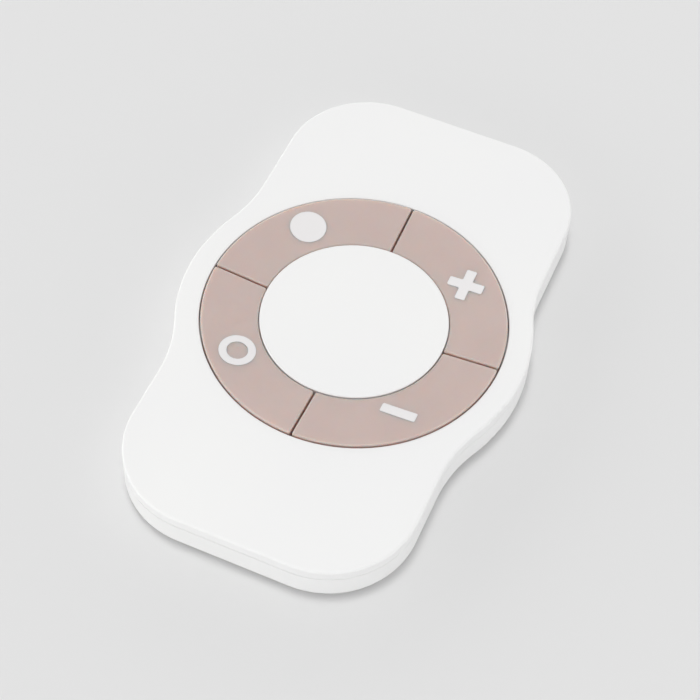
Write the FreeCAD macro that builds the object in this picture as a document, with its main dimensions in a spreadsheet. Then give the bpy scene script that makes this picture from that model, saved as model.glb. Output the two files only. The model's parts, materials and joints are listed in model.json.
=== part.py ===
import FreeCAD, Part
import math
import os
import re
import Sketcher

# A tabletop smart remote control: a slim white case with a round bulge at mid
# length, four quarter-ring keys round a centre island, and a coin cell under it.
# The frame: +Y runs along the case to its far end, +Z is up, and the origin lies
# under the ring's centre, on the surface that the rubber feet stand on.
# Lengths are in millimetres and angles in degrees.

doc = FreeCAD.newDocument("SmartRemote")

# The four keys by what they do, each with the direction of its middle
keys = {"on": 135, "bright": 45, "off": 225, "dim": 315}
lug_count = 3
rib_count = 2
capacitor_rows = 3

sizes = {
    # Case outline, seen from above
    "case_length": 99.2,
    "far_half_width": 27.35,
    "near_half_width": 25.9,
    "rim_width": 4.3,
    "blend_radius": 25.0,
    "corner_radius": 15.8,
    # Heights of the case above the table
    "underside_height": 0.3,
    "case_top": 7.8,
    "seam_depth": 2.1,
    "seam_bevel_width": 0.1,
    "seam_groove_height": 0.16,
    "seam_groove_depth": 0.3,
    "top_edge_radius": 0.45,
    "bottom_edge_radius": 1.2,
    # Walls of the two shells
    "wall_thickness": 1.5,
    "skirt_thickness": 0.75,
    "lip_gap": 0.05,
    "lip_top_gap": 0.1,
    "top_thickness": 1.3,
    "floor_thickness": 1.1,
    # Key well and centre island
    "well_radius": 27.1,
    "rim_bevel_width": 0.12,
    "well_wall_thickness": 1.2,
    "well_floor_top": 5.3,
    "well_floor_thickness": 0.9,
    "island_radius": 16.6,
    "island_stand_height": 0.15,
    "island_wall_thickness": 1.35,
    "island_roof_thickness": 1.2,
    # Quarter-ring keys
    "key_half_angle": 45.0,
    "key_well_gap": 0.25,
    "key_island_gap": 0.15,
    "key_split_width": 0.36,
    "key_stand_height": 0.3,
    "key_dish_depth": 1.0,
    "key_mat_gap": 0.35,
    "key_edge_radius": 0.3,
    "key_corner_radius": 0.4,
    "dish_overrun_length": 1.0,
    # Key hooks and their slots in the well floor
    "hook_edge_distance": 3.05,
    "hook_thickness": 1.0,
    "hook_angle": 24.0,
    "hook_half_angle": 2.6,
    "barb_width": 0.6,
    "barb_height": 0.35,
    "hook_clearance": 0.05,
    "slot_clearance": 0.25,
    "slot_spare_angle": 0.6,
    # Silicone mat under the keys
    "mat_thickness": 0.4,
    "mat_clearance": 0.3,
    "mat_spare_angle": 0.7,
    # Tact switches
    "switch_side": 4.6,
    "switch_height": 1.1,
    "switch_well_gap": 0.3,
    "switch_wall_thickness": 0.5,
    "switch_base_thickness": 0.15,
    "switch_roof_thickness": 0.3,
    "stem_radius": 1.2,
    "stem_rise_height": 0.5,
    "stem_flange_radius": 1.65,
    "stem_flange_thickness": 0.2,
    "stem_gap": 0.05,
    "dome_radius": 1.7,
    "dome_rise_height": 0.06,
    "dome_thickness": 0.06,
    "key_post_radius": 1.6,
    "post_clearance": 0.5,
    # Circuit board
    "board_thickness": 0.8,
    "board_edge_distance": 3.4,
    "board_end_distance": 2.4,
    "board_boss_gap": 0.4,
    "board_corner_radius": 4.0,
    "board_clearance": 0.5,
    "board_post_radius": 2.0,
    "pin_side_distance": 3.8,
    "pin_end_distance": 4.5,
    "pin_radius": 0.8,
    "pin_gap": 0.1,
    "pin_rise_height": 0.4,
    # Board screws
    "board_screw_edge_distance": 3.7,
    "board_screw_radius": 0.7,
    "board_screw_head_radius": 1.4,
    "board_screw_head_height": 0.7,
    "board_screw_depth": 0.6,
    "screw_gap": 0.05,
    # Case screws
    "case_screw_side_distance": 8.9,
    "case_screw_end_distance": 9.9,
    "case_screw_radius": 0.85,
    "case_screw_head_radius": 1.7,
    "case_screw_head_height": 0.8,
    "case_screw_head_gap": 0.2,
    "case_screw_grip_length": 2.6,
    "rear_boss_radius": 3.1,
    "front_boss_radius": 2.4,
    "boss_meeting_height": 3.1,
    "screw_seat_thickness": 1.1,
    "screw_point_gap": 0.3,
    # Rubber feet
    "foot_radius": 4.0,
    "foot_gap": 0.15,
    "foot_thickness": 0.9,
    "foot_bevel_width": 0.25,
    # Stiffening ribs inside the top cover
    "rib_thickness": 0.9,
    "rib_depth": 0.8,
    "rib_half_length": 12.0,
    "rib_end_distance": 11.9,
    "rib_spacing": 4.5,
    # Coin cell
    "cell_radius": 10.0,
    "cell_height": 3.2,
    "cell_rim_width": 1.1,
    "cell_step_height": 0.35,
    "cell_bevel_width": 0.25,
    # Battery door and its bay
    "door_overlap_width": 0.15,
    "door_thickness": 0.9,
    "door_gap": 0.15,
    "door_lift_gap": 0.05,
    "door_bevel_width": 0.2,
    "door_travel": 30.0,
    "cup_gap": 0.3,
    "cup_thickness": 0.8,
    "cup_height": 1.45,
    "lug_width": 1.1,
    "lug_height": 0.5,
    "lug_half_angle": 12.0,
    "ledge_gap": 0.15,
    "ledge_thickness": 0.8,
    "notch_clearance": 2.0,
    "stop_half_angle": 2.5,
    "lug_gap": 0.2,
    "bay_wall_thickness": 1.2,
    "bay_top": 3.9,
    "coin_slot_half_length": 7.0,
    "coin_slot_width": 2.0,
    "coin_slot_depth": 0.5,
    "seal_cup_gap": 0.35,
    "seal_width": 0.55,
    "seal_groove_depth": 0.35,
    "seal_gap": 0.05,
    "seal_bevel_width": 0.12,
    # Sprung contacts
    "contact_width": 3.0,
    "contact_thickness": 0.2,
    "contact_foot_length": 3.6,
    "contact_stand_off_gap": 0.15,
    "contact_wall_gap": 0.1,
    "contact_hump_height": 0.45,
    "contact_ramp_gap": 0.8,
    "contact_shoulder_gap": 0.6,
    "contact_dip_distance": 3.5,
    "contact_touch_outer": 4.6,
    "contact_touch_inner": 3.4,
    "contact_tip_radius": 2.0,
    "contact_tail_length": 1.2,
    # Parts on the board
    "shield_end_distance": 10.8,
    "shield_half_width": 6.5,
    "shield_half_length": 5.0,
    "shield_height": 1.25,
    "shield_sheet_thickness": 0.2,
    "shield_corner_radius": 0.6,
    "chip_side": 5.0,
    "chip_height": 0.85,
    "chip_offset": 2.8,
    "crystal_length": 3.2,
    "crystal_width": 2.5,
    "crystal_height": 0.7,
    "crystal_offset": 3.2,
    "antenna_end_distance": 1.8,
    "antenna_half_length": 3.5,
    "antenna_width": 2.0,
    "antenna_height": 1.2,
    "capacitor_length": 1.6,
    "capacitor_width": 0.8,
    "capacitor_height": 0.8,
    "capacitor_offset": 10.2,
    "capacitor_back_distance": 3.6,
    "capacitor_spacing": 2.4,
    "buffer_side": 6.0,
    "buffer_end_distance": 9.5,
    "buffer_length": 3.5,
    "buffer_width": 2.8,
    "buffer_height": 1.9,
}

sheet = doc.addObject("Spreadsheet::Sheet", "Sizes")
for row, (name, amount) in enumerate(sizes.items(), start=1):
    sheet.set("A%d" % row, name)
    sheet.set("B%d" % row, str(amount))
    sheet.setAlias("B%d" % row, name)
doc.recompute()

# Heights and radii that follow from the driving sizes
floor_top = "(underside_height + floor_thickness)"
case_ceiling = "(case_top - top_thickness)"
seam = "(case_top - seam_depth)"
well_floor_bottom = "(well_floor_top - well_floor_thickness)"
island_top = "(case_top + key_stand_height - key_dish_depth + island_stand_height)"
bulge_radius = "(well_radius + rim_width)"
key_outer_radius = "(well_radius - key_well_gap)"
key_inner_radius = "(island_radius + key_island_gap)"
key_top = "(case_top + key_stand_height)"
key_underside = "(well_floor_top + mat_thickness + key_mat_gap)"
switch_top = "(%s - switch_well_gap)" % well_floor_bottom
board_top = "(%s - switch_height)" % switch_top
board_underside = "(%s - board_thickness)" % board_top
switch_cavity_top = "(%s - switch_roof_thickness)" % switch_top
stem_top = "(%s + stem_rise_height)" % switch_top
hook_inner_radius = "(%s - hook_edge_distance)" % key_outer_radius
hook_outer_radius = "(%s + hook_thickness)" % hook_inner_radius
switch_circle = "((island_radius + well_radius) / 2)"
first_switch = (switch_circle + " * cos(key_half_angle)", switch_circle + " * sin(key_half_angle)")
barb_top = "(%s - hook_clearance)" % well_floor_bottom
barb_bottom = "(%s - barb_height)" % barb_top
case_screw_side = "(near_half_width - case_screw_side_distance)"
case_screw_forward = "(case_length / 2 - case_screw_end_distance)"
board_round_radius = "(%s - wall_thickness - board_edge_distance)" % bulge_radius
board_half_width = "(%s - rear_boss_radius - board_boss_gap)" % case_screw_side
board_half_length = "(case_length / 2 - wall_thickness - board_end_distance)"
board_screw_side = "(%s - board_screw_edge_distance)" % board_round_radius
pin_side = "(%s - pin_side_distance)" % board_half_width
pin_forward = "(%s - pin_end_distance)" % board_half_length
shield_forward = "(%s - shield_end_distance)" % board_half_length
screw_seat = "(boss_meeting_height - screw_seat_thickness)"
screw_head_bottom = "(%s - case_screw_head_height)" % screw_seat
screw_point = "(boss_meeting_height + case_screw_grip_length)"
door_top = "(underside_height + door_thickness)"
ledge_bottom = "(%s + door_lift_gap)" % door_top
ledge_top = "(%s + ledge_thickness)" % ledge_bottom
cup_inner_radius = "(cell_radius + cup_gap)"
cup_outer_radius = "(%s + cup_thickness)" % cup_inner_radius
lug_radius = "(%s + lug_width)" % cup_outer_radius
ledge_radius = "(%s + ledge_gap)" % cup_outer_radius
chamber_radius = "(%s + lug_gap)" % lug_radius
door_radius = "(%s + door_overlap_width)" % lug_radius
recess_radius = "(%s + door_gap)" % door_radius
seal_inner_radius = "(%s + seal_cup_gap)" % cup_outer_radius
seal_outer_radius = "(%s + seal_width)" % seal_inner_radius
lug_bottom = "(%s + door_lift_gap)" % ledge_top
lug_top = "(%s + lug_height)" % lug_bottom
bay_outer_radius = "(%s + bay_wall_thickness)" % chamber_radius
cell_cap_radius = "(cell_radius - cell_rim_width)"
cell_bottom = "(%s + door_lift_gap)" % door_top
cell_top = "(%s + cell_height)" % cell_bottom
cell_shoulder = "(%s - cell_step_height)" % cell_top


def number(text):
    """The value of an expression in the sheet's size names."""
    return float(sheet.evalExpression(text))


def tie(text):
    """The same expression with each size name pointing at the sheet."""
    return re.sub(r"\b[a-z]+(?:_[a-z]+)+\b", lambda match: "Sizes." + match.group(0), text)


def new_body(label):
    body = doc.addObject("PartDesign::Body", label)
    body.Label = label
    body.AllowCompound = True
    return body


def new_sketch(body, name, level="0", role="XY_Plane"):
    """A sketch on one of the body's own planes, lifted to a level."""
    sketch = body.newObject("Sketcher::SketchObject", body.Name + "_" + name + "_sketch")
    plane = next(item for item in body.Origin.OriginFeatures if item.Role == role)
    sketch.AttachmentSupport = [(plane, "")]
    sketch.MapMode = "FlatFace"
    if level != "0":
        sketch.AttachmentOffset = FreeCAD.Placement(FreeCAD.Vector(0, 0, number(level)), FreeCAD.Rotation())
        sketch.setExpression("AttachmentOffset.Base.z", tie(level))
    return sketch


def constrain(sketch, rules):
    """Adds constraints, each beside the expression that drives it or None."""
    indices = sketch.addConstraint([rule for rule, text in rules])
    for index, (rule, text) in zip(indices, rules):
        if text is not None:
            sketch.setExpression("Constraints[%d]" % index, tie(text))


def pinned(edge, position, x, y):
    """The rules that hold one point of an edge at a place in the sketch."""
    rules = []
    for kind, text, axis in (("DistanceX", x, -2), ("DistanceY", y, -1)):
        if text == "0":
            rules.append((Sketcher.Constraint("PointOnObject", edge, position, axis), None))
        else:
            rules.append((Sketcher.Constraint(kind, edge, position, number(text)), text))
    return rules


def circle(sketch, radius, x="0", y="0"):
    centre = FreeCAD.Vector(number(x), number(y), 0)
    shape = Part.Circle(centre, FreeCAD.Vector(0, 0, 1), number(radius))
    edge = sketch.addGeometry(shape, False)
    rules = pinned(edge, 3, x, y)
    rules.append((Sketcher.Constraint("Radius", edge, number(radius)), radius))
    constrain(sketch, rules)


def outline(sketch, corners):
    """A closed outline through corners (x, y). A corner written as
    (x, y, centre x, centre y, radius) is reached along an arc of under half a turn."""
    places = [FreeCAD.Vector(number(corner[0]), number(corner[1]), 0) for corner in corners]
    edges = []
    rules = []
    for index, corner in enumerate(corners):
        start = places[index - 1]
        end = places[index]
        if len(corner) == 2:
            edge = sketch.addGeometry(Part.LineSegment(start, end), False)
            edges.append((edge, 1, 2))
            continue
        centre = FreeCAD.Vector(number(corner[2]), number(corner[3]), 0)
        radius = number(corner[4])
        full = Part.Circle(centre, FreeCAD.Vector(0, 0, 1), radius)
        start_angle = math.atan2(start.y - centre.y, start.x - centre.x)
        end_angle = math.atan2(end.y - centre.y, end.x - centre.x)
        if (start - centre).cross(end - centre).z > 0:
            edge = sketch.addGeometry(Part.ArcOfCircle(full, start_angle, end_angle), False)
            edges.append((edge, 1, 2))
        else:
            edge = sketch.addGeometry(Part.ArcOfCircle(full, end_angle, start_angle), False)
            edges.append((edge, 2, 1))
        rules.append((Sketcher.Constraint("Radius", edge, radius), corner[4]))
    for index, corner in enumerate(corners):
        edge, first, last = edges[index]
        following, following_first, following_last = edges[(index + 1) % len(edges)]
        rules.append((Sketcher.Constraint("Coincident", edge, last, following, following_first), None))
        rules.extend(pinned(edge, last, corner[0], corner[1]))
    constrain(sketch, rules)


def rectangle(sketch, half_x, half_y, x="0", y="0"):
    left = "(%s) - (%s)" % (x, half_x)
    right = "(%s) + (%s)" % (x, half_x)
    low = "(%s) - (%s)" % (y, half_y)
    high = "(%s) + (%s)" % (y, half_y)
    outline(sketch, [(right, low), (right, high), (left, high), (left, low)])


def sector(sketch, inner, outer, start, end):
    """A part of a ring between two radii and two angles."""
    def at(radius, angle):
        return "(%s) * cos(%s)" % (radius, angle), "(%s) * sin(%s)" % (radius, angle)
    outline(sketch, [
        at(outer, start),
        at(outer, end) + ("0", "0", outer),
        at(inner, end),
        at(inner, start) + ("0", "0", inner),
    ])


def quarter_of_case(half_width, x_side, y_side, inset):
    """The corners of one quarter of the case outline, moved inwards by inset: where the
    bulge ends, where the hollow blend meets the side, and the two ends of the round corner."""
    blend_x = "(%s + blend_radius)" % half_width
    blend_y = "sqrt((%s + blend_radius)^2 - (%s + blend_radius)^2)" % (bulge_radius, half_width)
    share = "(%s - %s) / (%s + blend_radius)" % (bulge_radius, inset, bulge_radius)
    corner_x = "(%s - corner_radius)" % half_width
    corner_y = "(case_length / 2 - corner_radius)"
    side_x = "%s * (%s - %s)" % (x_side, half_width, inset)
    end_y = "%s * (case_length / 2 - %s)" % (y_side, inset)
    return {
        "bulge_end": ("%s * %s * %s" % (x_side, blend_x, share), "%s * %s * %s" % (y_side, blend_y, share)),
        "side_start": (side_x, "%s * %s" % (y_side, blend_y)),
        "side_end": (side_x, "%s * %s" % (y_side, corner_y)),
        "corner_end": ("%s * %s" % (x_side, corner_x), end_y),
        "blend": ("%s * %s" % (x_side, blend_x), "%s * %s" % (y_side, blend_y),
                  "blend_radius + %s" % inset),
        "corner": ("%s * %s" % (x_side, corner_x), "%s * %s" % (y_side, corner_y),
                   "corner_radius - %s" % inset),
    }


def case_outline(sketch, inset):
    """The case seen from above: round ends, a little narrower at the near end, and a
    bulge concentric with the ring that hollow blends lead into."""
    inset = "(%s)" % inset
    bulge = ("0", "0", "%s - %s" % (bulge_radius, inset))
    corners = []
    for half_width, x_side, y_side, outward in (
            ("far_half_width", 1, 1, True), ("far_half_width", -1, 1, False),
            ("near_half_width", -1, -1, True), ("near_half_width", 1, -1, False)):
        quarter = quarter_of_case(half_width, x_side, y_side, inset)
        if outward:
            corners.append(quarter["bulge_end"] + bulge)
            corners.append(quarter["side_start"] + quarter["blend"])
            corners.append(quarter["side_end"])
            corners.append(quarter["corner_end"] + quarter["corner"])
        else:
            corners.append(quarter["corner_end"])
            corners.append(quarter["side_end"] + quarter["corner"])
            corners.append(quarter["side_start"])
            corners.append(quarter["bulge_end"] + quarter["blend"])
    outline(sketch, corners)


def extrude(body, name, low, high, draw):
    """A pad from one level up to another."""
    before = body.Shape.Volume if body.Tip else 0.0
    sketch = new_sketch(body, name, low)
    draw(sketch)
    feature = body.newObject("PartDesign::Pad", body.Name + "_" + name)
    feature.Profile = sketch
    feature.setExpression("Length", tie("(%s) - (%s)" % (high, low)))
    doc.recompute()
    if body.Shape.Volume <= before:
        raise RuntimeError(feature.Name + " adds nothing")
    return feature


def cut(body, name, low, high, draw):
    """A pocket from one level down to another."""
    before = body.Shape.Volume
    sketch = new_sketch(body, name, high)
    draw(sketch)
    feature = body.newObject("PartDesign::Pocket", body.Name + "_" + name)
    feature.Profile = sketch
    feature.setExpression("Length", tie("(%s) - (%s)" % (high, low)))
    doc.recompute()
    if body.Shape.Volume >= before:
        raise RuntimeError(feature.Name + " removes nothing")
    return feature


def turned(body, name, kind, draw, angle=360):
    """A turn about the body's Z axis of a section drawn as (radius, height): a full
    one, or one that reaches half the angle to each side of the section."""
    before = body.Shape.Volume if body.Tip else 0.0
    sketch = new_sketch(body, name, "0", "XZ_Plane")
    draw(sketch)
    feature = body.newObject("PartDesign::" + kind, body.Name + "_" + name)
    feature.Profile = sketch
    feature.ReferenceAxis = (sketch, ["V_Axis"])
    feature.Midplane = angle != 360
    feature.Angle = angle
    doc.recompute()
    changed = body.Shape.Volume - before
    if (changed <= 0) if kind == "Revolution" else (changed >= 0):
        raise RuntimeError(feature.Name + " changes nothing")
    return feature


def polar(body, name, original, count):
    """Copies of a feature, evenly spaced round the Z axis."""
    before = body.Shape.Volume
    pattern = body.newObject("PartDesign::PolarPattern", body.Name + "_" + name)
    pattern.Originals = [original]
    axis = next(item for item in body.Origin.OriginFeatures if item.Role == "Z_Axis")
    pattern.Axis = (axis, [""])
    pattern.Angle = 360
    pattern.Occurrences = count
    body.Tip = pattern
    doc.recompute()
    if abs(body.Shape.Volume - before) < 1e-6:
        raise RuntimeError(pattern.Name + " copies nothing")
    return pattern


def dressed(body, name, kind, measure, amount, wanted):
    """A fillet or chamfer on each edge of the body so far that the test picks."""
    base = body.Tip
    names = ["Edge%d" % (index + 1) for index, edge in enumerate(base.Shape.Edges) if wanted(edge)]
    if not names:
        raise RuntimeError(name + " finds no edge")
    feature = body.newObject("PartDesign::" + kind, body.Name + "_" + name)
    feature.Base = (base, names)
    feature.setExpression(measure, tie(amount))
    doc.recompute()
    return feature


def rounded(body, name, radius, wanted):
    return dressed(body, name, "Fillet", "Radius", radius, wanted)


def bevelled(body, name, size, wanted):
    return dressed(body, name, "Chamfer", "Size", size, wanted)


def level_edge(height):
    """A test for edges that lie at one height all along."""
    level = number(height)
    return lambda edge: all(abs(edge.valueAt(at).z - level) < 1e-5 for at in edge.ParameterRange)


def ring_edge(height, radius):
    """A test for circular edges of one height and radius about the Z axis."""
    level = level_edge(height)
    reach = number(radius)
    return lambda edge: level(edge) and all(
        abs(math.hypot(edge.valueAt(at).x, edge.valueAt(at).y) - reach) < 1e-5 for at in edge.ParameterRange)


def upright_edge(edge):
    start, end = (edge.valueAt(at) for at in edge.ParameterRange)
    return abs(start.x - end.x) + abs(start.y - end.y) < 1e-6 and abs(start.z - end.z) > 1e-6


def at_case_screws(draw):
    """Draws the same outline at the four case screws."""
    def draw_all(sketch):
        for x_side in (1, -1):
            for y_side in (1, -1):
                draw(sketch, "%d * %s" % (x_side, case_screw_side), "%d * %s" % (y_side, case_screw_forward))
    return draw_all


def at_board_screws(draw):
    def draw_all(sketch):
        for side in (1, -1):
            draw(sketch, "%d * %s" % (side, board_screw_side), "0")
    return draw_all


def at_pins(draw):
    def draw_all(sketch):
        for side in (1, -1):
            draw(sketch, "%d * %s" % (-side, pin_side), "%d * %s" % (side, pin_forward))
    return draw_all


def round_at(radius):
    return lambda sketch, x, y: circle(sketch, radius, x, y)


def ring_of(radius):
    return lambda sketch: circle(sketch, radius)


# Top cover: a shallow tray with the key well, the island and the screw bosses

def make_top_cover():
    body = new_body("top_cover")
    extrude(body, "slab", seam, "case_top", lambda sketch: case_outline(sketch, "0"))
    rounded(body, "top_edge", "top_edge_radius", level_edge("case_top"))

    def draw_seam_groove(sketch):
        case_outline(sketch, "0")
        case_outline(sketch, "seam_groove_depth")
    cut(body, "seam_groove", seam, seam + " + seam_groove_height", draw_seam_groove)
    cut(body, "hollow", seam, case_ceiling, lambda sketch: case_outline(sketch, "skirt_thickness"))
    cut(body, "well_mouth", case_ceiling, "case_top", ring_of("well_radius"))
    well_outer = "well_radius + well_wall_thickness"
    turned(body, "well", "Revolution", lambda sketch: outline(sketch, [
        ("0", island_top),
        ("0", island_top + " - island_roof_thickness"),
        ("island_radius - island_wall_thickness", island_top + " - island_roof_thickness"),
        ("island_radius - island_wall_thickness", well_floor_bottom),
        (well_outer, well_floor_bottom),
        (well_outer, case_ceiling + " + top_thickness / 4"),
        ("well_radius", case_ceiling + " + top_thickness / 4"),
        ("well_radius", "well_floor_top"),
        ("island_radius", "well_floor_top"),
        ("island_radius", island_top),
    ]))
    bevelled(body, "island_rim", "rim_bevel_width", ring_edge(island_top, "island_radius"))
    bevelled(body, "well_rim", "rim_bevel_width", ring_edge("case_top", "well_radius"))
    window = cut(body, "post_window", well_floor_bottom, "well_floor_top", lambda sketch: circle(
        sketch, "key_post_radius + post_clearance", *first_switch))
    polar(body, "post_windows", window, len(keys))

    def draw_slots(sketch):
        for side in (1, -1):
            middle = "key_half_angle + %d * hook_angle" % side
            sector(sketch, hook_inner_radius + " - slot_clearance", hook_outer_radius + " + slot_clearance",
                   middle + " - hook_half_angle - slot_spare_angle",
                   middle + " + hook_half_angle + slot_spare_angle")
    slots = cut(body, "hook_slot", well_floor_bottom, "well_floor_top", draw_slots)
    polar(body, "hook_slots", slots, len(keys))
    extrude(body, "screw_bosses", "boss_meeting_height", case_ceiling + " + top_thickness / 4",
            at_case_screws(round_at("front_boss_radius")))
    cut(body, "screw_bores", "boss_meeting_height", screw_point + " + screw_point_gap",
        at_case_screws(round_at("case_screw_radius + screw_gap")))

    def draw_ribs(sketch):
        for step in range(rib_count):
            for side in (1, -1):
                rectangle(sketch, "rib_half_length", "rib_thickness / 2", "0",
                          "%d * (case_length / 2 - rib_end_distance - %d * rib_spacing)" % (side, step))
    extrude(body, "ribs", case_ceiling + " - rib_depth", case_ceiling + " + top_thickness / 4", draw_ribs)
    return body


# Rear cover: a tray with round lower edges, the battery bay, posts and screw pockets

def make_rear_cover():
    body = new_body("rear_cover")
    extrude(body, "slab", "underside_height", seam, lambda sketch: case_outline(sketch, "0"))
    rounded(body, "bottom_edge", "bottom_edge_radius", level_edge("underside_height"))
    bevelled(body, "seam_edge", "seam_bevel_width", level_edge(seam))
    cut(body, "hollow", floor_top, seam, lambda sketch: case_outline(sketch, "wall_thickness"))

    def draw_lip(sketch):
        case_outline(sketch, "skirt_thickness + lip_gap")
        case_outline(sketch, "wall_thickness")
    extrude(body, "lip", seam, case_ceiling + " - lip_top_gap", draw_lip)
    extrude(body, "bay", "underside_height + floor_thickness / 2", "bay_top", ring_of(bay_outer_radius))
    extrude(body, "rear_bosses", "underside_height + floor_thickness / 2", "boss_meeting_height",
            at_case_screws(round_at("rear_boss_radius")))

    def draw_posts(sketch):
        at_board_screws(round_at("board_post_radius"))(sketch)
        at_pins(round_at("board_post_radius"))(sketch)
        for x_side in (1, -1):
            for y_side in (1, -1):
                circle(sketch, "board_post_radius", "%d * %s" % (x_side, first_switch[0]),
                       "%d * %s" % (y_side, first_switch[1]))
    extrude(body, "posts", "underside_height + floor_thickness / 2", board_underside, draw_posts)
    extrude(body, "pins", board_underside + " - board_thickness / 2", board_top + " + pin_rise_height",
            at_pins(round_at("pin_radius")))
    cut(body, "board_screw_bores", board_underside + " - board_screw_depth", board_underside,
        at_board_screws(round_at("board_screw_radius + screw_gap")))
    cut(body, "bay_chamber", ledge_top, "bay_top", ring_of(chamber_radius))
    cut(body, "bay_mouth", ledge_bottom, ledge_top, ring_of(ledge_radius))
    cut(body, "door_recess", "underside_height", ledge_bottom, ring_of(recess_radius))
    notch = cut(body, "lug_notch", ledge_bottom, ledge_top, lambda sketch: sector(
        sketch, ledge_radius + " - door_gap", chamber_radius,
        "-door_travel - lug_half_angle - notch_clearance", "-door_travel + lug_half_angle + notch_clearance"))
    polar(body, "lug_notches", notch, lug_count)
    stop = extrude(body, "lug_stop", ledge_top, lug_top, lambda sketch: sector(
        sketch, ledge_radius, chamber_radius + " + bay_wall_thickness / 2",
        "lug_half_angle + notch_clearance", "lug_half_angle + notch_clearance + 2 * stop_half_angle"))
    polar(body, "lug_stops", stop, lug_count)
    cut(body, "foot_recesses", "underside_height", "foot_thickness",
        at_case_screws(round_at("foot_radius + foot_gap")))
    cut(body, "head_recesses", "foot_thickness", screw_seat,
        at_case_screws(round_at("case_screw_head_radius + case_screw_head_gap")))
    cut(body, "clearance_bores", screw_seat, "boss_meeting_height",
        at_case_screws(round_at("case_screw_radius + 2 * screw_gap")))
    return body


# Keys: each is a quarter of a dished ring, drawn about +X and then turned to its place

def key_corners():
    """The corners of a quarter ring whose straight sides run parallel to the split."""
    half_split = "(key_split_width / 2)"
    corners = []
    for radius, side in (
            (key_inner_radius, -1), (key_outer_radius, -1), (key_outer_radius, 1), (key_inner_radius, 1)):
        along = "sqrt(%s^2 - %s^2)" % (radius, half_split)
        x = "cos(key_half_angle) * (%s + %s)" % (along, half_split)
        y = "%d * sin(key_half_angle) * (%s - %s)" % (side, along, half_split)
        corners.append((x, y))
    return corners


def make_key(label, turn):
    body = new_body(label)
    inner_right, outer_right, outer_left, inner_left = key_corners()
    extrude(body, "quarter", key_underside, key_top, lambda sketch: outline(sketch, [
        outer_right,
        outer_left + ("0", "0", key_outer_radius),
        inner_left,
        inner_right + ("0", "0", key_inner_radius),
    ]))
    rounded(body, "corners", "key_corner_radius", upright_edge)
    fall = "dish_overrun_length * key_dish_depth / (%s - %s)" % (key_outer_radius, key_inner_radius)
    turned(body, "dish", "Groove", lambda sketch: outline(sketch, [
        (key_outer_radius + " + dish_overrun_length", key_top + " + " + fall),
        (key_outer_radius + " + dish_overrun_length", key_top + " + 2 * dish_overrun_length"),
        (key_inner_radius + " - dish_overrun_length", key_top + " + 2 * dish_overrun_length"),
        (key_inner_radius + " - dish_overrun_length", key_top + " - key_dish_depth - " + fall),
    ]), 180)
    above_underside = number(key_underside) + 1e-3
    rounded(body, "top_edge", "key_edge_radius", lambda edge: not upright_edge(edge) and all(
        edge.valueAt(at).z > above_underside for at in edge.ParameterRange))
    key_inside = key_underside + " + key_mat_gap"
    extrude(body, "post", stem_top, key_inside, lambda sketch: circle(
        sketch, "key_post_radius", switch_circle, "0"))

    def draw_hooks(reach):
        def draw(sketch):
            for side in (1, -1):
                sector(sketch, hook_inner_radius, hook_outer_radius + reach,
                       "%d * hook_angle - hook_half_angle" % side, "%d * hook_angle + hook_half_angle" % side)
        return draw
    extrude(body, "hook_legs", barb_bottom, key_inside, draw_hooks(""))
    extrude(body, "hook_barbs", barb_bottom, barb_top, draw_hooks(" + barb_width"))
    body.Placement = FreeCAD.Placement(FreeCAD.Vector(), FreeCAD.Rotation(FreeCAD.Vector(0, 0, 1), turn))
    return body


def make_mat():
    """The silicone sheet in the well, whose colour shows between the keys."""
    body = new_body("key_mat")

    def draw_ring(sketch):
        circle(sketch, "well_radius - mat_clearance")
        circle(sketch, "island_radius + mat_clearance")
    mat_top = "well_floor_top + mat_thickness"
    extrude(body, "sheet", "well_floor_top", mat_top, draw_ring)
    window = cut(body, "post_window", "well_floor_top", mat_top, lambda sketch: circle(
        sketch, "key_post_radius + post_clearance", *first_switch))
    polar(body, "post_windows", window, len(keys))

    def draw_slots(sketch):
        for side in (1, -1):
            middle = "key_half_angle + %d * hook_angle" % side
            sector(sketch, hook_inner_radius + " - mat_clearance", hook_outer_radius + " + mat_clearance",
                   middle + " - hook_half_angle - mat_spare_angle",
                   middle + " + hook_half_angle + mat_spare_angle")
    slots = cut(body, "hook_slot", "well_floor_top", mat_top, draw_slots)
    polar(body, "hook_slots", slots, len(keys))
    return body


# Tact switches: a housing, a snap dome and a stem with a flange under the roof

def turned_place(turn):
    """The place of a switch on its circle, turned to face the ring's centre."""
    rotation = FreeCAD.Rotation(FreeCAD.Vector(0, 0, 1), turn)
    return FreeCAD.Placement(rotation.multVec(FreeCAD.Vector(number(switch_circle), 0, 0)), rotation)


def make_switch_body(label, turn):
    body = new_body(label)
    extrude(body, "block", board_top, switch_top, lambda sketch: rectangle(
        sketch, "switch_side / 2", "switch_side / 2"))
    rounded(body, "corners", "switch_wall_thickness / 2", upright_edge)
    turned(body, "cavity", "Groove", lambda sketch: outline(sketch, [
        ("0", board_top + " + switch_base_thickness"),
        ("switch_side / 2 - switch_wall_thickness", board_top + " + switch_base_thickness"),
        ("switch_side / 2 - switch_wall_thickness", switch_cavity_top),
        ("stem_radius + stem_gap", switch_cavity_top),
        ("stem_radius + stem_gap", switch_top + " + switch_roof_thickness"),
        ("0", switch_top + " + switch_roof_thickness"),
    ]))
    body.Placement = turned_place(turn)
    return body


def make_switch_stem(label, turn):
    body = new_body(label)
    flange_top = switch_cavity_top + " - stem_gap"
    turned(body, "stem", "Revolution", lambda sketch: outline(sketch, [
        ("0", flange_top + " - stem_flange_thickness"),
        ("stem_flange_radius", flange_top + " - stem_flange_thickness"),
        ("stem_flange_radius", flange_top),
        ("stem_radius", flange_top),
        ("stem_radius", stem_top),
        ("0", stem_top),
    ]))
    body.Placement = turned_place(turn)
    return body


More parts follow.
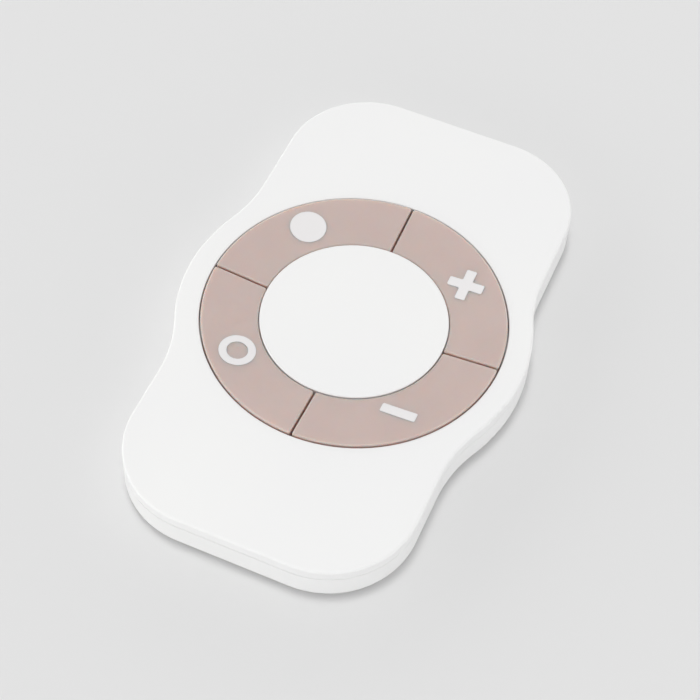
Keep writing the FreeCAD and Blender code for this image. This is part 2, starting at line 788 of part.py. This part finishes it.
def make_switch_dome(label, turn):
    """A thin snap dome on the floor of its switch."""
    body = new_body(label)
    base = board_top + " + switch_base_thickness"
    sphere = "((dome_radius^2 + dome_rise_height^2) / (2 * dome_rise_height))"
    centre = "%s + dome_rise_height - %s" % (base, sphere)
    outer = "(%s + dome_thickness)" % sphere
    rim_rise = "(sqrt(%s^2 - dome_radius^2) - sqrt(%s^2 - dome_radius^2))" % (outer, sphere)
    turned(body, "dome", "Revolution", lambda sketch: outline(sketch, [
        ("dome_radius", base + " + " + rim_rise),
        ("0", base + " + dome_rise_height + dome_thickness", "0", centre, outer),
        ("0", base + " + dome_rise_height"),
        ("dome_radius", base, "0", centre, sphere),
    ]))
    body.Placement = turned_place(turn)
    return body


# Circuit board and what is soldered to it

def make_circuit_board():
    body = new_body("circuit_board")
    extrude(body, "disc", board_underside, board_top, ring_of(board_round_radius))

    def draw_strip(sketch):
        corner_x = "(%s - board_corner_radius)" % board_half_width
        corner_y = "(%s - board_corner_radius)" % board_half_length
        corners = []
        for x_side, y_side, turns_up in ((1, 1, True), (-1, 1, False), (-1, -1, True), (1, -1, False)):
            upright = ("%d * %s" % (x_side, board_half_width), "%d * %s" % (y_side, corner_y))
            level = ("%d * %s" % (x_side, corner_x), "%d * %s" % (y_side, board_half_length))
            arc = ("%d * %s" % (x_side, corner_x), "%d * %s" % (y_side, corner_y), "board_corner_radius")
            corners.extend([upright, level + arc] if turns_up else [level, upright + arc])
        outline(sketch, corners)
    extrude(body, "strip", board_underside, board_top, draw_strip)
    cut(body, "cell_hole", board_underside, board_top, ring_of(bay_outer_radius + " + board_clearance"))
    cut(body, "screw_holes", board_underside, board_top,
        at_board_screws(round_at("board_screw_radius + 2 * screw_gap")))
    cut(body, "pin_holes", board_underside, board_top, at_pins(round_at("pin_radius + pin_gap")))
    return body


def make_block(label, height, half_x, half_y, places, edge_radius=None):
    """Small rectangular components that stand on the board."""
    body = new_body(label)

    def draw(sketch):
        for x, y in places:
            rectangle(sketch, half_x, half_y, x, y)
    extrude(body, "block", board_top, board_top + " + " + height, draw)
    if edge_radius:
        rounded(body, "edges", edge_radius, upright_edge)
    return body


def make_shield():
    """A pressed lid over the radio: four walls and a roof, open below."""
    body = make_block("radio_shield", "shield_height", "shield_half_width", "shield_half_length",
                      [("0", shield_forward)], "shield_corner_radius")
    cut(body, "inside", board_top, board_top + " + shield_height - shield_sheet_thickness",
        lambda sketch: rectangle(sketch, "shield_half_width - shield_sheet_thickness",
                                 "shield_half_length - shield_sheet_thickness", "0", shield_forward))
    return body


# Coin cell, contacts and the door below it

def make_coin_cell():
    body = new_body("coin_cell")
    turned(body, "can", "Revolution", lambda sketch: outline(sketch, [
        ("0", cell_bottom),
        ("cell_radius", cell_bottom),
        ("cell_radius", cell_shoulder),
        (cell_cap_radius, cell_shoulder),
        (cell_cap_radius, cell_top),
        ("0", cell_top),
    ]))
    lower = ring_edge(cell_bottom, "cell_radius")
    shoulder = ring_edge(cell_shoulder, "cell_radius")
    upper = ring_edge(cell_top, cell_cap_radius)
    bevelled(body, "edges", "cell_bevel_width", lambda edge: lower(edge) or shoulder(edge) or upper(edge))
    return body


def make_contact(label, side, path):
    """A sprung strip swept along a path in the YZ plane, given as (distance from the
    ring's axis, height) of the strip's middle."""
    body = new_body(label)
    start_level = "%d * (%s)" % (-side, path[0][0])
    section = new_sketch(body, "section", start_level, "XZ_Plane")
    rectangle(section, "contact_width / 2", "contact_thickness / 2", "0", path[0][1])
    route = new_sketch(body, "route", "0", "YZ_Plane")
    previous = None
    rules = []
    for first, second in zip(path, path[1:]):
        ends = [FreeCAD.Vector(side * number(point[0]), number(point[1]), 0) for point in (first, second)]
        edge = route.addGeometry(Part.LineSegment(ends[0], ends[1]), False)
        if previous is None:
            rules.extend(pinned(edge, 1, "%d * (%s)" % (side, first[0]), first[1]))
        else:
            rules.append((Sketcher.Constraint("Coincident", previous, 2, edge, 1), None))
        rules.extend(pinned(edge, 2, "%d * (%s)" % (side, second[0]), second[1]))
        previous = edge
    constrain(route, rules)
    doc.recompute()
    strip = body.newObject("PartDesign::AdditivePipe", label + "_strip")
    strip.Profile = section
    strip.Spine = (route, ["Edge%d" % (index + 1) for index in range(len(path) - 1)])
    strip.Transition = "Right corner"
    doc.recompute()
    return body


def make_contacts():
    half = "contact_thickness / 2"
    foot_height = board_top + " + " + half
    riser = "(%s + board_clearance + contact_stand_off_gap + %s)" % (bay_outer_radius, half)
    over_wall = "(bay_top + contact_wall_gap + %s)" % half
    touch = cell_top + " + " + half
    hump = touch + " + contact_hump_height"
    start = [(riser + " + contact_foot_length", foot_height), (riser, foot_height), (riser, over_wall)]
    negative = make_contact("contact_negative", 1, start + [
        (chamber_radius + " + contact_ramp_gap", over_wall),
        ("cell_radius + contact_shoulder_gap", hump),
        ("cell_radius - contact_dip_distance", hump),
        ("contact_touch_outer", touch),
        ("contact_touch_inner", touch),
        ("contact_tip_radius", hump),
    ])
    positive = make_contact("contact_positive", -1, start + [
        ("cell_radius + " + half, over_wall),
        ("cell_radius + " + half, over_wall + " - contact_tail_length"),
    ])
    return [negative, positive]


def make_battery_door():
    body = new_body("battery_door")
    extrude(body, "disc", "underside_height", door_top, ring_of(door_radius))
    bevelled(body, "rim", "door_bevel_width", ring_edge("underside_height", door_radius))

    def draw_cup(sketch):
        circle(sketch, cup_outer_radius)
        circle(sketch, cup_inner_radius)
    extrude(body, "cup", door_top, door_top + " + cup_height", draw_cup)
    lug = extrude(body, "lug", lug_bottom, lug_top, lambda sketch: sector(
        sketch, cup_inner_radius + " + cup_thickness / 2", lug_radius,
        "-lug_half_angle", "lug_half_angle"))
    polar(body, "lugs", lug, lug_count)

    def draw_groove(sketch):
        circle(sketch, seal_outer_radius)
        circle(sketch, seal_inner_radius)
    cut(body, "seal_groove", door_top + " - seal_groove_depth", door_top, draw_groove)

    def draw_coin_slot(sketch):
        reach = "coin_slot_half_length"
        half = "coin_slot_width / 2"
        tip = "(%s + %s)" % (reach, half)
        outline(sketch, [
            (reach, "-" + half),
            (tip, "0", reach, "0", half),
            (reach, half, reach, "0", half),
            ("-" + reach, half),
            ("-" + tip, "0", "-" + reach, "0", half),
            ("-" + reach, "-" + half, "-" + reach, "0", half),
        ])
    cut(body, "coin_slot", "underside_height", "underside_height + coin_slot_depth", draw_coin_slot)
    return body


def make_door_seal():
    body = new_body("door_seal")
    inner = seal_inner_radius + " + seal_gap"
    outer = seal_outer_radius + " - seal_gap"
    base = door_top + " - seal_groove_depth"
    crown = ledge_bottom + " - door_lift_gap / 2"
    shoulder = crown + " - seal_bevel_width"
    turned(body, "ring", "Revolution", lambda sketch: outline(sketch, [
        (outer, base),
        (outer, shoulder),
        (outer + " - seal_bevel_width", crown),
        (inner + " + seal_bevel_width", crown),
        (inner, shoulder),
        (inner, base),
    ]))
    return body


# Fasteners and feet, four or two alike in one node

def make_case_screws():
    body = new_body("case_screws")
    extrude(body, "heads", screw_head_bottom, screw_seat, at_case_screws(round_at("case_screw_head_radius")))
    extrude(body, "shanks", screw_seat, screw_point, at_case_screws(round_at("case_screw_radius")))
    return body


def make_board_screws():
    body = new_body("board_screws")
    extrude(body, "heads", board_top, board_top + " + board_screw_head_height",
            at_board_screws(round_at("board_screw_head_radius")))
    extrude(body, "shanks", board_underside + " - board_screw_depth + screw_gap", board_top,
            at_board_screws(round_at("board_screw_radius")))
    return body


def make_feet():
    body = new_body("rubber_feet")
    extrude(body, "discs", "0", "foot_thickness", at_case_screws(round_at("foot_radius")))
    bevelled(body, "edges", "foot_bevel_width", level_edge("0"))
    return body


pieces = [make_top_cover(), make_rear_cover(), make_mat(), make_circuit_board()]
for word, turn in keys.items():
    pieces.append(make_key("key_" + word, turn))
    pieces.append(make_switch_body("switch_body_" + word, turn))
    pieces.append(make_switch_stem("switch_stem_" + word, turn))
    pieces.append(make_switch_dome("switch_dome_" + word, turn))
pieces.append(make_block("radio_chip", "chip_height", "chip_side / 2", "chip_side / 2",
                         [("-chip_offset", shield_forward)]))
pieces.append(make_block("crystal", "crystal_height", "crystal_width / 2", "crystal_length / 2",
                         [("crystal_offset", shield_forward)], "crystal_height / 4"))
pieces.append(make_shield())
pieces.append(make_block("antenna", "antenna_height", "antenna_half_length", "antenna_width / 2",
                         [("0", board_half_length + " - antenna_end_distance")]))
pieces.append(make_block("capacitors", "capacitor_height", "capacitor_width / 2", "capacitor_length / 2", [
    ("%d * capacitor_offset" % side,
     "%s - capacitor_back_distance + %d * capacitor_spacing" % (shield_forward, step))
    for side in (1, -1) for step in range(capacitor_rows)]))
pieces.append(make_block("buffer_capacitor", "buffer_height", "buffer_width / 2", "buffer_length / 2",
                         [("buffer_side", "buffer_end_distance - " + board_half_length)]))
pieces.append(make_coin_cell())
pieces.extend(make_contacts())
pieces.append(make_battery_door())
pieces.append(make_door_seal())
pieces.append(make_case_screws())
pieces.append(make_board_screws())
pieces.append(make_feet())

doc.recompute()

# Nothing is written unless every object of the document and every piece is sound
for item in doc.Objects:
    if "Invalid" in item.State or "Error" in item.State:
        raise RuntimeError(item.Name + " failed: " + ", ".join(item.State))
for piece in pieces:
    if piece.Shape.isNull() or not piece.Shape.isValid():
        raise RuntimeError(piece.Label + " has no sound shape")

os.makedirs("parts", exist_ok=True)
for piece in pieces:
    piece.Shape.exportStep("parts/" + piece.Label + ".step")
    print("%-20s %d solid(s) %9.2f mm3" % (piece.Label, len(piece.Shape.Solids), piece.Shape.Volume))
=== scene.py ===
import json
import math
import bmesh
import bpy
from mathutils import Matrix, Vector
from mathutils.bvhtree import BVHTree


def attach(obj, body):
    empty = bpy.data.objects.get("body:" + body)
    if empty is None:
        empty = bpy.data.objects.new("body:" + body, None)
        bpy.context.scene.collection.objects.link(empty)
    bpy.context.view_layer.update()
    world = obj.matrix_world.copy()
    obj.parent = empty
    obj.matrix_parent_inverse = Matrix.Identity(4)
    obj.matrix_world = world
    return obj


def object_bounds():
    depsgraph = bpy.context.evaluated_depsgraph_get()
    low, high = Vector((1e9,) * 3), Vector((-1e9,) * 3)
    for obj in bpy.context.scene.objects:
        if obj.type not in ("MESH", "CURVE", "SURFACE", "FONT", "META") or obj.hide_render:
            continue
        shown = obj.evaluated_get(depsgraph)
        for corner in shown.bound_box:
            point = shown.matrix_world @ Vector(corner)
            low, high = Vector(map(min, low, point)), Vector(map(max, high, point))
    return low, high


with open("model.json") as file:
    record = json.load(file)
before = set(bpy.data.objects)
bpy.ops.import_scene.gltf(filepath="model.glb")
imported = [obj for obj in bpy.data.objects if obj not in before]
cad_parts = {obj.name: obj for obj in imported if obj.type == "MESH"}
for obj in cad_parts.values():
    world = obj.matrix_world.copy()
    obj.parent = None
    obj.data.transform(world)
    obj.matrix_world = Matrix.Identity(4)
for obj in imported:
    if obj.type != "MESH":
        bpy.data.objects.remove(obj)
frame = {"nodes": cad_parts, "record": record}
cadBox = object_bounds()
nodes = frame["nodes"]
record = frame["record"]
mm = 0.001


def hexToLinear(code):
    # sRGB hex to the linear numbers that shaders work in
    channels = [int(code[i:i + 2], 16) / 255 for i in (1, 3, 5)]
    linear = [c / 12.92 if c <= 0.04045 else ((c + 0.055) / 1.055) ** 2.4 for c in channels]
    return (*linear, 1.0)


def addNode(tree, kind, settings=None, links=None):
    # settings go to sockets by name or number, or else to the node itself; links are socket: output
    node = tree.nodes.new(kind)
    for name, value in (settings or {}).items():
        if isinstance(name, int) or name in node.inputs:
            node.inputs[name].default_value = value
        else:
            setattr(node, name, value)
    for name, output in (links or {}).items():
        tree.links.new(output, node.inputs[name])
    return node


# a Mix node has several sockets of one name, so they are told apart by number
mixColour = {"factor": 0, "a": 6, "b": 7, "result": 2}
mixNumber = {"factor": 0, "a": 2, "b": 3, "result": 0}


def newMaterial(name, shader):
    # numbers that are the same all over the surface are set on the shader's own sockets
    material = bpy.data.materials.new(name)
    material.use_nodes = True
    tree = material.node_tree
    tree.nodes.clear()
    bsdf = addNode(tree, "ShaderNodeBsdfPrincipled", shader)
    addNode(tree, "ShaderNodeOutputMaterial", links={"Surface": bsdf.outputs["BSDF"]})
    return material, tree, bsdf


# what every moulded surface shares: the drift of its tone and the grain of its tool
mouldNoise = {
    "driftDetail": 2.0, "driftRoughness": 0.5, "driftLow": 0.3, "driftHigh": 0.7,
    "grainDetail": 3.0, "grainRoughness": 0.6,
}


def mouldedPlastic(name, look):
    # injection-moulded plastic from a spark-eroded tool: a fine even grain that softens
    # the sheen, and a faint drift of tone where the melt cooled unevenly. The real grain
    # is a few hundredths of a millimetre, so it is drawn coarser to show at all. Bleed is
    # light that enters, takes on the plastic's tint and comes out close by. Silicone,
    # epoxy, laminate, ceramic and ink have a grain of the same kind, in their own numbers
    material, tree, bsdf = newMaterial(name, {
        "Roughness": look["roughness"], "IOR": look["ior"], "Specular IOR Level": look["specular"],
        "Subsurface Weight": look["bleed"], "Subsurface Scale": look["bleedMm"] * mm,
        "Subsurface Radius": look["bleedTint"]})
    point = addNode(tree, "ShaderNodeTexCoord").outputs["Object"]
    drift = addNode(tree, "ShaderNodeTexNoise", {
        "Scale": 1 / (look["driftMm"] * mm), "Detail": mouldNoise["driftDetail"],
        "Roughness": mouldNoise["driftRoughness"]}, {"Vector": point})
    spread = addNode(tree, "ShaderNodeMapRange", {
        "From Min": mouldNoise["driftLow"], "From Max": mouldNoise["driftHigh"]},
        {"Value": drift.outputs["Fac"]})
    colour = addNode(tree, "ShaderNodeMix", {
        "data_type": "RGBA", mixColour["a"]: hexToLinear(look["colour"]),
        mixColour["b"]: hexToLinear(look["colourDrift"])},
        {mixColour["factor"]: spread.outputs["Result"]})
    tree.links.new(colour.outputs[mixColour["result"]], bsdf.inputs["Base Color"])
    grain = addNode(tree, "ShaderNodeTexNoise", {
        "Scale": 1 / (look["grainMm"] * mm), "Detail": mouldNoise["grainDetail"],
        "Roughness": mouldNoise["grainRoughness"]}, {"Vector": point})
    sheen = addNode(tree, "ShaderNodeMapRange", {
        "To Min": look["roughness"] - look["roughnessSpread"],
        "To Max": look["roughness"] + look["roughnessSpread"]}, {"Value": grain.outputs["Fac"]})
    tree.links.new(sheen.outputs["Result"], bsdf.inputs["Roughness"])
    bump = addNode(tree, "ShaderNodeBump", {
        "Strength": look["grainStrength"], "Distance": look["grainDepthMm"] * mm},
        {"Height": grain.outputs["Fac"]})
    tree.links.new(bump.outputs["Normal"], bsdf.inputs["Normal"])
    return material


def platedSteel(name, look):
    # rolled and plated sheet: fine rolling lines along one axis under a bright metal sheen.
    # Real lines are a few hundredths of a millimetre wide, drawn about 0.1 mm wide to show
    material, tree, bsdf = newMaterial(name, {"Metallic": 1.0, "Roughness": look["roughness"]})
    point = addNode(tree, "ShaderNodeTexCoord").outputs["Object"]
    stretched = addNode(tree, "ShaderNodeMapping", {"Scale": look["lineStretch"]}, {"Vector": point})
    lines = addNode(tree, "ShaderNodeTexNoise", {
        "Scale": 1 / (look["lineMm"] * mm), "Detail": look["lineDetail"]},
        {"Vector": stretched.outputs["Vector"]})
    colour = addNode(tree, "ShaderNodeMix", {
        "data_type": "RGBA", mixColour["a"]: hexToLinear(look["colour"]),
        mixColour["b"]: hexToLinear(look["colourLine"])}, {mixColour["factor"]: lines.outputs["Fac"]})
    tree.links.new(colour.outputs[mixColour["result"]], bsdf.inputs["Base Color"])
    sheen = addNode(tree, "ShaderNodeMapRange", {
        "To Min": look["roughness"] * look["brighter"], "To Max": look["roughness"] * look["duller"]},
        {"Value": lines.outputs["Fac"]})
    tree.links.new(sheen.outputs["Result"], bsdf.inputs["Roughness"])
    bump = addNode(tree, "ShaderNodeBump", {
        "Strength": look["lineStrength"], "Distance": look["lineDepthMm"] * mm},
        {"Height": lines.outputs["Fac"]})
    tree.links.new(bump.outputs["Normal"], bsdf.inputs["Normal"])
    return material


# satin ABS: an even, nearly matt white with a wide soft sheen and no sharp highlight
shellLook = {
    "colour": "#f3f3f2", "colourDrift": "#f1f1f1", "roughness": 0.42, "roughnessSpread": 0.05,
    "ior": 1.53, "specular": 0.4, "driftMm": 40.0,
    "grainMm": 0.2, "grainDepthMm": 0.004, "grainStrength": 0.15,
    "bleed": 0.0, "bleedMm": 0.5, "bleedTint": (1.0, 0.8, 0.7),
}
# satin ABS in rose: duller than the case, and its bleed warms thin edges and the gaps beside them
keyLook = {
    "colour": "#cdbab4", "colourDrift": "#c9b6b0", "roughness": 0.48, "roughnessSpread": 0.06,
    "ior": 1.53, "specular": 0.35, "driftMm": 14.0,
    "grainMm": 0.2, "grainDepthMm": 0.006, "grainStrength": 0.2,
    "bleed": 1.0, "bleedMm": 2.5, "bleedTint": (1.0, 0.5, 0.36),
}
# pad-printed ink: a thick film, flatter and a shade greyer than the case
inkLook = dict(shellLook, colour="#eae8e8", colourDrift="#e8e6e6", roughness=0.5, grainMm=0.3)
# moulded silicone: matt and soft, with hardly any highlight
rubberLook = {
    "colour": "#bdbdbd", "colourDrift": "#b4b4b4", "roughness": 0.7, "roughnessSpread": 0.08,
    "ior": 1.43, "specular": 0.3, "driftMm": 5.0,
    "grainMm": 0.3, "grainDepthMm": 0.02, "grainStrength": 0.4,
    "bleed": 0.0, "bleedMm": 0.5, "bleedTint": (1.0, 0.6, 0.5),
}
# the mat shows only through splits of 0.36 mm, deep in shade: its colour is painted much paler than brown
# silicone, as painted light that lifts the splits, and there it reads as deep brown
matLook = dict(rubberLook, colour="#e8a084", colourDrift="#e0987c")
sealLook = dict(rubberLook, colour="#8d8d8d", colourDrift="#858585")
# solder mask over glass laminate: deep green, glossier than the mouldings and faintly wavy
laminateLook = dict(shellLook, colour="#14502f", colourDrift="#18593a", roughness=0.3, grainMm=0.8)
# dark epoxy and nylon mouldings: dull and nearly black. Ivory nylon: warm beside the white case
blackLook = dict(shellLook, colour="#161616", colourDrift="#1c1c1c", roughness=0.55)
stemLook = dict(shellLook, colour="#dcd8ca", colourDrift="#d5d0c1")
# fired ceramic, white or tan: hard and dull, and never quite even in tone
ceramicLook = dict(shellLook, colour="#e8e5da", colourDrift="#dedacd", roughness=0.5)
tanLook = dict(shellLook, colour="#9c8062", colourDrift="#8f7558", roughness=0.5)
# moulded yellow epoxy: a warm block with a faint sheen
yellowLook = dict(shellLook, colour="#d9a840", colourDrift="#cf9d38", roughness=0.45)
# nickel plate: bright and a little warm. Tin plate is softer, and zinc plate darker and bluer
steelLook = {
    "colour": "#c9c8c4", "colourLine": "#b9b8b4", "roughness": 0.3, "brighter": 0.8, "duller": 1.3,
    "lineStretch": (1, 12, 1), "lineMm": 1.2, "lineDetail": 2.0, "lineDepthMm": 0.01, "lineStrength": 0.2,
}
tinLook = dict(steelLook, colour="#c4c5c4", colourLine="#b2b3b2", roughness=0.38)
zincLook = dict(steelLook, colour="#8f9092", colourLine="#7c7d80", roughness=0.35)

materialBySlot = {
    "white_shell": mouldedPlastic("white ABS, moulded satin", shellLook),
    "rose_key": mouldedPlastic("rose ABS, moulded satin", keyLook),
    "brown_silicone": mouldedPlastic("brown silicone, moulded matt", matLook),
    "grey_silicone": mouldedPlastic("grey silicone, moulded matt", sealLook),
    "foot_silicone": mouldedPlastic("pale silicone, moulded matt", rubberLook),
    "board_laminate": mouldedPlastic("green board laminate, solder masked", laminateLook),
    "black_package": mouldedPlastic("black epoxy, moulded", blackLook),
    "switch_plastic": mouldedPlastic("black nylon, moulded", blackLook),
    "stem_plastic": mouldedPlastic("ivory nylon, moulded", stemLook),
    "steel_lid": platedSteel("steel lid, plated", steelLook),
    "tinned_steel": platedSteel("tinned steel, pressed", tinLook),
    "sprung_steel": platedSteel("spring steel, nickel plated", steelLook),
    "cell_steel": platedSteel("cell steel, nickel plated", steelLook),
    "screw_steel": platedSteel("screw steel, zinc plated", zincLook),
    "white_ceramic": mouldedPlastic("white ceramic, fired", ceramicLook),
    "tan_ceramic": mouldedPlastic("tan ceramic, fired", tanLook),
    "yellow_package": mouldedPlastic("yellow epoxy, moulded", yellowLook),
}
inkMaterial = mouldedPlastic("white ink, pad printed", inkLook)

for part in record["subparts"]:
    node = nodes[part["node"]]
    node.data.materials.clear()
    node.data.materials.append(materialBySlot[part["material_slot"]])
print("materials set on", len(nodes), "nodes")


# the signs on the keys, in millimetres: thick white prints that follow the dished tops
signs = {
    "dot": {"key": "key_on", "body": "on_press", "place": (-15.7, 15.25), "radius": 3.3},
    "plus": {"key": "key_bright", "body": "bright_press", "place": (15.1, 14.95),
             "bars": 2, "span": 6.5, "arm": 1.85},
    "ring": {"key": "key_off", "body": "off_press", "place": (-15.5, -14.9),
             "radius": 3.23, "hole": 1.86},
    "minus": {"key": "key_dim", "body": "dim_press", "place": (14.7, -15.1),
              "bars": 1, "span": 6.35, "arm": 1.85},
}
signPrint = {
    "rise": 0.1, "sunk": 0.03,  # above and below the key's face
    "edge": 0.04, "edgeSteps": 2, "corner": 0.12, "cornerSteps": 4,
    "sides": 72,  # round a circle
    "step": 0.6, "onCut": 1e-5,  # spacing of the cuts, and how near a corner counts as on one
    "wallSlope": 0.5,  # a face whose normal rises less than this is a side wall
}


def circlePoints(radius, sides):
    angles = [2 * math.pi * i / sides for i in range(sides)]
    return [Vector((radius * math.cos(a), radius * math.sin(a), 0)) for a in angles]


def signOutline(sign):
    # corners of a bar or a cross, anticlockwise, or points round a circle
    if "radius" in sign:
        return circlePoints(sign["radius"], signPrint["sides"])
    long, short = sign["span"] / 2, sign["arm"] / 2
    if sign["bars"] == 1:
        corners = ((long, -short), (long, short), (-long, short), (-long, -short))
        return [Vector((x, y, 0)) for x, y in corners]
    arm =[Vector((long, -short, 0)), Vector((long, short, 0)), Vector((short, short, 0))]
    return [Matrix.Rotation(math.radians(90 * i), 3, "Z") @ point for i in range(4) for point in arm]


def makeSign(name, sign):
    # drawn flat in millimetres, cut small enough to bend, thickened, then laid on the key
    mesh = bmesh.new()
    outer = [mesh.verts.new(point) for point in signOutline(sign)]
    if "hole" in sign:
        inner = [mesh.verts.new(point) for point in circlePoints(sign["hole"], signPrint["sides"])]
        for i in range(len(outer)):
            mesh.faces.new((outer[i - 1], outer[i], inner[i], inner[i - 1]))
    else:
        mesh.faces.new(outer)
    if "bars" in sign:
        bmesh.ops.bevel(mesh, geom=mesh.verts[:], offset=signPrint["corner"],
                        segments=signPrint["cornerSteps"], affect="VERTICES")
    bmesh.ops.triangulate(mesh, faces=mesh.faces[:])
    reach = max(vert.co.length for vert in mesh.verts)
    cuts = math.ceil(reach / signPrint["step"])
    for axis in (Vector((1, 0, 0)), Vector((0, 1, 0))):
        for i in range(-cuts, cuts + 1):
            bmesh.ops.bisect_plane(
                mesh, geom=mesh.verts[:] + mesh.edges[:] + mesh.faces[:], dist=signPrint["onCut"],
                plane_co=axis * (i * signPrint["step"]), plane_no=axis)
    top = bmesh.ops.extrude_face_region(mesh, geom=mesh.faces[:])["geom"]
    topVerts = {item for item in top if isinstance(item, bmesh.types.BMVert)}
    for vert in mesh.verts:
        vert.co.z = signPrint["rise"] if vert in topVerts else -signPrint["sunk"]
    bmesh.ops.recalc_face_normals(mesh, faces=mesh.faces[:])
    rim = [edge for edge in mesh.edges if all(vert in topVerts for vert in edge.verts)
           and any(abs(face.normal.z) < signPrint["wallSlope"] for face in edge.link_faces)]
    bmesh.ops.bevel(mesh, geom=rim, offset=signPrint["edge"],
                    segments=signPrint["edgeSteps"], affect="EDGES")
    place = Vector((*sign["place"], 0))
    surface = BVHTree.FromObject(nodes[sign["key"]], bpy.context.evaluated_depsgraph_get())
    above = cadBox[1][2] + mm
    for vert in mesh.verts:
        spot = (place + vert.co) * mm
        hit = surface.ray_cast(Vector((spot.x, spot.y, above)), Vector((0, 0, -1)))[0]
        vert.co = Vector((spot.x, spot.y, hit.z + vert.co.z * mm))
    data = bpy.data.meshes.new(name)
    mesh.to_mesh(data)
    mesh.free()
    data.materials.append(inkMaterial)
    piece = bpy.data.objects.new(name, data)
    bpy.context.scene.collection.objects.link(piece)
    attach(piece, sign["body"])


for name, sign in signs.items():
    makeSign("sign_" + name, sign)
print("signs laid on the keys")


# camera, at the photograph's viewing angle: angles in degrees, lens and sensor in millimetres
view = {
    "elevation": 54.32, "azimuth": 20.91, "roll": 3.22,
    "lens": 94.36, "sensorWidth": 36, "clipStart": 10 * mm,
    "aim": Vector((0, 0, 7.8)) * mm, "distance": 320.36 * mm,
    "shiftRight": -0.756 * mm, "shiftUp": -5.771 * mm,
}


def placeCamera():
    elevation = math.radians(view["elevation"])
    azimuth = math.radians(view["azimuth"])
    roll = math.radians(view["roll"])
    back = Vector((math.sin(azimuth) * math.cos(elevation), -math.cos(azimuth) * math.cos(elevation),
                   math.sin(elevation)))
    level = Vector((math.cos(azimuth), math.sin(azimuth), 0))
    upright = back.cross(level)
    right = math.cos(roll) * level + math.sin(roll) * upright
    up = -math.sin(roll) * level + math.cos(roll) * upright
    data = bpy.data.cameras.new("camera")
    data.lens = view["lens"]
    data.sensor_width = view["sensorWidth"]
    data.clip_start = view["clipStart"]
    camera = bpy.data.objects.new("camera", data)
    place = view["aim"] + back * view["distance"] + right * view["shiftRight"] + up * view["shiftUp"]
    camera.matrix_world = Matrix.Translation(place) @ Matrix((right, up, back)).transposed().to_4x4()
    bpy.context.scene.collection.objects.link(camera)
    bpy.context.scene.camera = camera


placeCamera()
print("camera placed")


# floor and light: a light tent, brightest low down so that the walls of the case stay
# bright, and one lamp nearly overhead that draws the thin shadow
studio = {
    "floorSize": 6.0, "floorColour": "#e3e3e3", "floorRoughness": 0.7, "floorSpecular": 0.2,
    "tentColour": "#ffffff", "skyStrength": 0.57, "horizonStrength": 2.4,
    "glowTop": 0.5, "glowTilt": (0.09, 0, 1), "backdropStrength": 0.75,
    "lampTowards": (-0.083, 0.067, 1), "lampAngle": 12.7, "lampStrength": 0.85,
}


def makeFloor():
    # matt paper: an even pale grey that takes a soft shadow and mirrors nothing
    bpy.ops.mesh.primitive_plane_add(size=studio["floorSize"])
    floor = bpy.context.object
    floor.name = "floor"
    material = newMaterial("matt paper floor", {
        "Base Color": hexToLinear(studio["floorColour"]), "Roughness": studio["floorRoughness"],
        "Specular IOR Level": studio["floorSpecular"]})[0]
    floor.data.materials.append(material)


def makeTent():
    # the tent's strength falls from the horizon up, and is a little less on the right; seen
    # straight or in metal it is plain pale grey
    world = bpy.data.worlds.new("light tent")
    bpy.context.scene.world = world
    world.use_nodes = True
    tree = world.node_tree
    direction = addNode(tree, "ShaderNodeTexCoord").outputs["Generated"]
    height = addNode(tree, "ShaderNodeVectorMath", {
        "operation": "DOT_PRODUCT", 1: studio["glowTilt"]}, {0: direction})
    glow = addNode(tree, "ShaderNodeMapRange", {
        "From Max": studio["glowTop"],
        "To Min": studio["horizonStrength"], "To Max": studio["skyStrength"]},
        {"Value": height.outputs["Value"]})
    ray = addNode(tree, "ShaderNodeLightPath").outputs
    seen = addNode(tree, "ShaderNodeMath", {"operation": "ADD"}, {
        0: ray["Is Camera Ray"], 1: ray["Is Glossy Ray"]})
    shown = addNode(tree, "ShaderNodeMath", {"operation": "ADD"}, {
        0: seen.outputs[0], 1: ray["Is Transmission Ray"]})
    strength = addNode(tree, "ShaderNodeMix", {mixNumber["b"]: studio["backdropStrength"]}, {
        mixNumber["factor"]: shown.outputs[0], mixNumber["a"]: glow.outputs["Result"]})
    background = tree.nodes["Background"]
    background.inputs["Color"].default_value = hexToLinear(studio["tentColour"])
    tree.links.new(strength.outputs[mixNumber["result"]], background.inputs["Strength"])


def makeLamp():
    data = bpy.data.lights.new("lamp", "SUN")
    data.angle = math.radians(studio["lampAngle"])
    data.energy = studio["lampStrength"]
    lamp = bpy.data.objects.new("lamp", data)
    lamp.rotation_euler = Vector(studio["lampTowards"]).to_track_quat("Z", "Y").to_euler()
    bpy.context.scene.collection.objects.link(lamp)


makeFloor()
makeTent()
makeLamp()
bpy.context.scene.view_settings.view_transform = "Standard"
print("studio ready")
